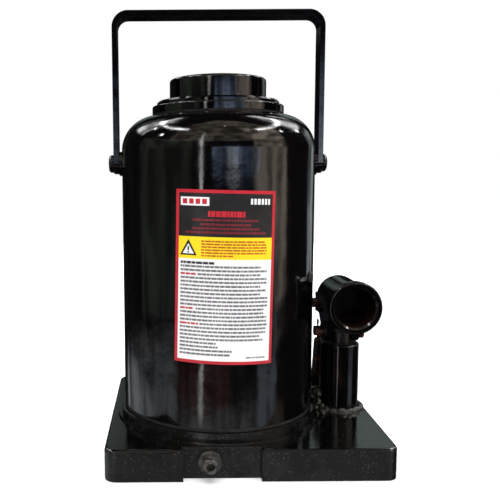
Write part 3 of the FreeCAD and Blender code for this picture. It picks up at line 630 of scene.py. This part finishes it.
def print_band(sheet, rng):
    """A yellow band: a triangle with a bar and a dot in it at the left, and rows of orange bars."""
    sheet.triangle("black", 9.9, 6.4, 36.0, 47.8, 2)
    sheet.triangle("white", 9.9, 4.3, 39.2, 46.6, 3)
    sheet.patch("black", 9.3, 10.5, 41.2, 44.2, 4)
    sheet.patch("black", 9.3, 10.5, 44.9, 46.0, 4)
    for row in range(6):
        end = 69 - 2 * rng.random() if row < 5 else 44
        sheet.words("orange", rng, 19.5, end, 36.6 + 2.1 * row, 1.15, 0.5, 6)


def print_text(sheet, rng, top, bottom):
    """A white panel with close rows of grey bars, a few led by bars of another ink."""
    rows, short_rows = 25, 4
    pitch = (bottom - top - 4.6) / rows
    leads = {0: ("black", 25), 3: ("red", 12), 12: ("red", 11), 16: ("red", 14)}
    for row in range(rows):
        y = top + 2.0 + row * pitch
        start = 4.2
        end = sheet.wide - rng.choice((5, 5.5, 6, 8, 11))
        if row in leads:
            ink, reach = leads[row]
            tall = (0.62 if row == 0 else 0.5) * pitch
            sheet.words(ink, rng, start, start + reach, y, tall, 0.5, 6)
            start += reach + 1
        if row == 0:
            continue
        if row >= rows - short_rows:
            end = rng.uniform(30, 50)
        sheet.words("grey", rng, start, end, y, 0.52 * pitch, 0.4, 4.5)
    sheet.words("grey", rng, sheet.wide - 21, sheet.wide - 6, bottom - 3.4, 1.1, 0.5, 4)


# --- stage, light and camera ---------------------------------------------------------------------

def make_floor():
    """A plain pale floor, a hair below the foot so that the two never share a plane."""
    size, gap = 3.2, 0.2 * MM
    bpy.ops.mesh.primitive_plane_add(size=size, location=(0, 0, -gap))
    floor = bpy.context.object
    floor.name = "floor"
    floor.data.materials.append(pale_floor())
    floor.visible_glossy = False


# The dark studio that the paint mirrors: the colour of the room, then its panels, each with bearing
# from the front towards +X and height, from and to in degrees, and with glow and colour.
ROOM = (0.012, 0.012, 0.014)
PANELS = (
    (-25.5, -21.5, -20, 46, 5.0, (1.0, 1.0, 0.96)),
    (-83, -79, 33, 35, 60.0, (1.0, 1.0, 1.0)),
    (-112, -108, 42, 44, 60.0, (1.0, 1.0, 1.0)),
    (87, 91, 35, 37, 60.0, (1.0, 1.0, 1.0)),
    (116, 120, 26, 28, 60.0, (1.0, 1.0, 1.0)),
    (12, 15, 66, 68, 25.0, (1.0, 0.95, 0.9)),
    (-10, 44, 1.5, 7, 1.6, (0.5, 0.66, 1.0)),
    (6, 20, 1.2, 2.2, 4.5, (1.0, 1.0, 1.0)),
    (38, 82, -12, 55, 1.2, (1.0, 0.86, 0.72)),
    (-105, -34, -12, 24, 0.22, (0.7, 0.85, 0.7)),
    (-62, 80, 20, 90, 0.6, (1.0, 0.85, 0.68)),
    (-140, -52, 50, 53, 26.0, (1.0, 1.0, 1.0)),
    (56, 140, 47, 50, 26.0, (1.0, 1.0, 1.0)),
    (112, 150, 27, 60, 3.4, (0.97, 0.98, 1.0)),
    (-150, -112, 27, 60, 3.4, (0.97, 0.98, 1.0)),
    (126, 145, -30, 20, 0.5, (0.9, 0.97, 1.0)),
    (154, 176, 12, 27, 0.36, (0.82, 1.0, 0.95)),
    (-184, -164, 12, 27, 0.28, (0.82, 1.0, 0.95)),
    (-146, -51, -32, -16, 0.62, (0.92, 0.96, 1.0)),
    (43, 70, -32, -14, 0.6, (0.75, 0.85, 1.0)),
    (-51, 43, -32, -20.5, 0.6, (0.92, 0.96, 1.0)),
    (-51, 10, -20, -16.5, 0.26, (0.9, 0.25, 0.25)),
)


def fade(tree, value, start, end):
    """0 at the start, 1 at the end, eased between."""
    node = tree.nodes.new("ShaderNodeMapRange")
    node.interpolation_type = "SMOOTHSTEP"
    tree.links.new(value, node.inputs["Value"])
    node.inputs["From Min"].default_value = start
    node.inputs["From Max"].default_value = end
    return node.outputs[0]


def studio_color(tree):
    """The sum of all panels, each with soft edges, over a nearly black room."""
    side, foot, crown = 1.6, 2, 3    # how soft the edges are, in degrees
    split = tree.nodes.new("ShaderNodeSeparateXYZ")
    tree.links.new(tree.nodes.new("ShaderNodeTexCoord").outputs["Generated"], split.inputs[0])
    x, y, z = split.outputs
    front = calc(tree, "MULTIPLY", y, -1.0)
    bearing = calc(tree, "MULTIPLY", calc(tree, "ARCTAN2", x, front), 180 / math.pi)
    height = calc(tree, "MULTIPLY", calc(tree, "ARCSINE", z), 180 / math.pi)
    total = ROOM
    for left, right, low, high, glow, color in PANELS:
        soft = min(side, 0.25 * (right - left))
        across = calc(tree, "MULTIPLY", fade(tree, bearing, left - soft, left + soft),
                      fade(tree, bearing, right + soft, right - soft))
        up = calc(tree, "MULTIPLY", fade(tree, height, low - foot, low + foot),
                  fade(tree, height, high + crown, high - crown))
        panel = tree.nodes.new("ShaderNodeMix")
        panel.data_type = "RGBA"
        panel.blend_type = "ADD"
        feed(tree, panel.inputs[0], calc(tree, "MULTIPLY", across, up))
        feed(tree, panel.inputs[6], total)
        feed(tree, panel.inputs[7], tuple(glow * c for c in color))
        total = panel.outputs[2]
    return total


def clouds(tree):
    """Slow patches that break up the panels, as a factor on their glow."""
    least, most = 0.3, 1.4
    noise = tree.nodes.new("ShaderNodeTexNoise")
    noise.inputs["Scale"].default_value = 5.5
    noise.inputs["Detail"].default_value = 5
    patches = fade(tree, noise.outputs["Fac"], 0.36, 0.62)
    return calc(tree, "ADD", calc(tree, "MULTIPLY", patches, most - least), least)


def background(tree, color, strength):
    shade = tree.nodes.new("ShaderNodeBackground")
    feed(tree, shade.inputs["Color"], color)
    feed(tree, shade.inputs["Strength"], strength)
    return shade.outputs[0]


def make_world():
    """White for the camera, dim light for matt surfaces, and a dark studio of panels for the gloss."""
    world = bpy.data.worlds.new("studio")
    bpy.context.scene.world = world
    world.use_nodes = True
    tree = world.node_tree
    tree.nodes.clear()
    gloss = background(tree, studio_color(tree), clouds(tree))
    matt = background(tree, (0.9, 0.95, 1.0), 0.16)
    white = background(tree, (1, 1, 1), 1.0)
    path = tree.nodes.new("ShaderNodeLightPath")
    result = matt
    for ray, shade in (("Is Glossy Ray", gloss), ("Is Camera Ray", white)):
        choose = tree.nodes.new("ShaderNodeMixShader")
        tree.links.new(path.outputs[ray], choose.inputs[0])
        tree.links.new(result, choose.inputs[1])
        tree.links.new(shade, choose.inputs[2])
        result = choose.outputs[0]
    out = tree.nodes.new("ShaderNodeOutputWorld")
    tree.links.new(result, out.inputs["Surface"])


def area_light(name, spot, aim, size, power):
    """A soft lamp that lights matt surfaces only: the panels stand in for it in the gloss."""
    data = bpy.data.lights.new(name, "AREA")
    data.energy = power
    data.shape = "RECTANGLE"
    data.size, data.size_y = size
    lamp = bpy.data.objects.new(name, data)
    lamp.location = spot
    lamp.rotation_euler = (Vector(aim) - Vector(spot)).to_track_quat("-Z", "Y").to_euler()
    lamp.visible_glossy = False
    bpy.context.scene.collection.objects.link(lamp)


def make_lights():
    area_light("top_soft", (0.1, 0.0, 1.5), (0, 0, 0.15), (1.7, 1.7), 40)
    area_light("back_soft", (0.0, 1.6, 1.3), (0, 0.5, 0), (2.6, 1.4), 36)
    area_light("front_fill", (0.3, -1.5, 0.9), (0, 0, 0.15), (1.4, 0.8), 9)


def make_camera():
    """In front, a little to the left and just above the label, looking slightly down."""
    place = (-40.7 * MM, -554 * MM, 222.5 * MM)
    tilt, roll = 6.4, -0.364
    lens, shift = 47.7, 0.1619
    data = bpy.data.cameras.new("camera")
    data.sensor_width = 36
    data.lens = lens
    data.shift_x = shift
    data.dof.use_dof = False
    camera = bpy.data.objects.new("camera", data)
    camera.location = place
    camera.rotation_euler = (math.radians(90 - tilt), 0, 0)
    camera.rotation_euler.rotate_axis("Z", math.radians(roll))
    bpy.context.scene.collection.objects.link(camera)
    bpy.context.scene.camera = camera


dress_cad_nodes()
make_edges()
make_pump_bead()
make_weld_lumps()
for index, pin in enumerate(("plunger_split_pin", "socket_split_pin", "link_split_pin")):
    split_pin(pin, index)
make_label()
make_floor()
make_world()
make_lights()
make_camera()
bpy.context.scene.view_settings.view_transform = "Standard"
